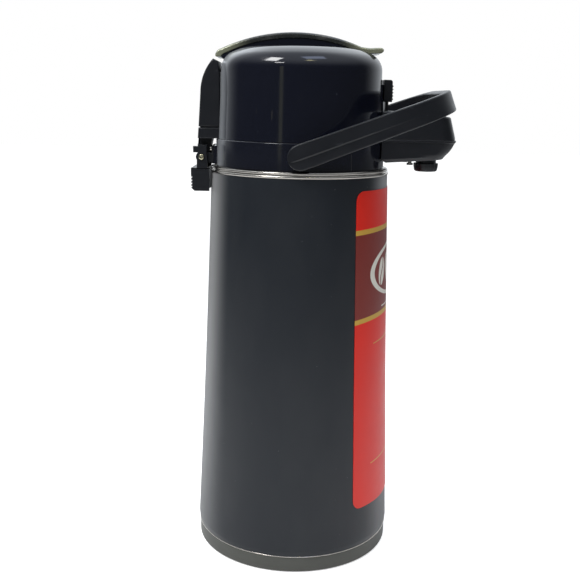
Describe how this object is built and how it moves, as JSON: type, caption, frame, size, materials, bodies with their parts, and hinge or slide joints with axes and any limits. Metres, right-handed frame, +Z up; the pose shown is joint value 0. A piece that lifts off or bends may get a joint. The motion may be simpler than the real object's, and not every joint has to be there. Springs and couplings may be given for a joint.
{
  "type": "thermal airpot",
  "caption": "Lever-pump thermal airpot: glass-lined steel flask with hinged pump lid, front spout, latch and swinging bail handle.",
  "frame": {"origin": "centre of the foot ring's underside, on the body's axis, on the surface it stands on", "axes": "+Z up along the body's axis, +X towards the spout, Y across; the XZ plane is the plane of symmetry"},
  "size_m": [0.2221, 0.172, 0.4448],
  "materials": {
    "body_paint": "satin black powder paint on steel",
    "gloss_black": "high gloss moulded black",
    "satin_black": "fine grained satin black moulding",
    "base_plastic": "matt moulded black",
    "lever_trim": "smoked grey gloss",
    "stainless": "bright stainless",
    "pin_metal": "pale plated brass",
    "rubber": "matt",
    "silicone": "translucent white silicone",
    "glass": "clear borosilicate",
    "clear_plastic": "milky tube",
    "label": "printed gloss vinyl"
  },
  "bodies": {
    "pot": {"shell": "body_paint", "top_trim_ring": "stainless", "bottom_trim_ring": "stainless", "base_cover": "base_plastic", "foot_ring": "rubber", "liner_support": "base_plastic", "liner_cushion": "rubber", "liner_outer_glass": "glass", "liner_inner_glass": "glass", "neck_gasket": "silicone", "collar": "gloss_black", "spout_lower_cover": "satin_black", "spout_upper_cover": "satin_black", "spout_screws": "stainless", "nozzle": "satin_black", "outflow_pipe": "silicone", "dip_tube": "clear_plastic", "tube_seal": "rubber", "label": "label", "hinge_bracket": "satin_black", "hinge_screws": "stainless", "hinge_pin": "pin_metal", "bail_studs": "satin_black", "latch_pin": "stainless", "latch_spring": "stainless"},
    "lid": {"lid_dome": "gloss_black", "lid_spine": "satin_black", "lid_base": "base_plastic", "mouth_seal": "silicone", "lid_screws": "stainless", "bellows": "rubber", "bellows_ring": "base_plastic", "pump_spring": "stainless", "check_valve": "silicone", "lever_pin": "stainless"},
    "lever": {"lever_arm": "gloss_black", "lever_trim": "lever_trim"},
    "pump": {"plunger": "base_plastic", "plunger_plate": "base_plastic"},
    "latch": {"latch": "satin_black"},
    "release": {"release_lever": "satin_black"},
    "bail": {"bail_handle": "satin_black"}
  },
  "joints": [
    {"name": "lid_hinge", "type": "hinge", "parent": "pot", "child": "lid", "pos_m": [-0.0821, 0, 0.3424], "axis": [0, -1, 0], "range_deg": [0, 90]},
    {"name": "lever_press", "type": "hinge", "parent": "lid", "child": "lever", "pos_m": [-0.054, 0, 0.4165], "axis": [0, 1, 0], "range_deg": [0, 11], "stiffness_Nm_per_rad": 2, "springref_deg": -17.19},
    {"name": "pump_stroke", "type": "slide", "parent": "lid", "child": "pump", "axis": [0, 0, -1], "range_m": [0, 0.0104], "deforming": ["bellows", "pump_spring"]},
    {"name": "latch_pull", "type": "hinge", "parent": "pot", "child": "latch", "pos_m": [0.0734, 0, 0.371], "axis": [0, 1, 0], "range_deg": [0, 8], "stiffness_Nm_per_rad": 0.05, "springref_deg": -11.46},
    {"name": "release_press", "type": "hinge", "parent": "pot", "child": "release", "pos_m": [-0.0821, 0, 0.3424], "axis": [0, -1, 0], "range_deg": [0, 4], "stiffness_Nm_per_rad": 0.3, "springref_deg": -8.59},
    {"name": "bail_swing", "type": "hinge", "parent": "pot", "child": "bail", "pos_m": [0, 0, 0.3472], "axis": [0, -1, 0], "range_deg": [0, 177]}
  ],
  "couplings": [
    {"joint": "pump_stroke", "follows": "lever_press", "m_per_rad": 0.054}
  ]
}
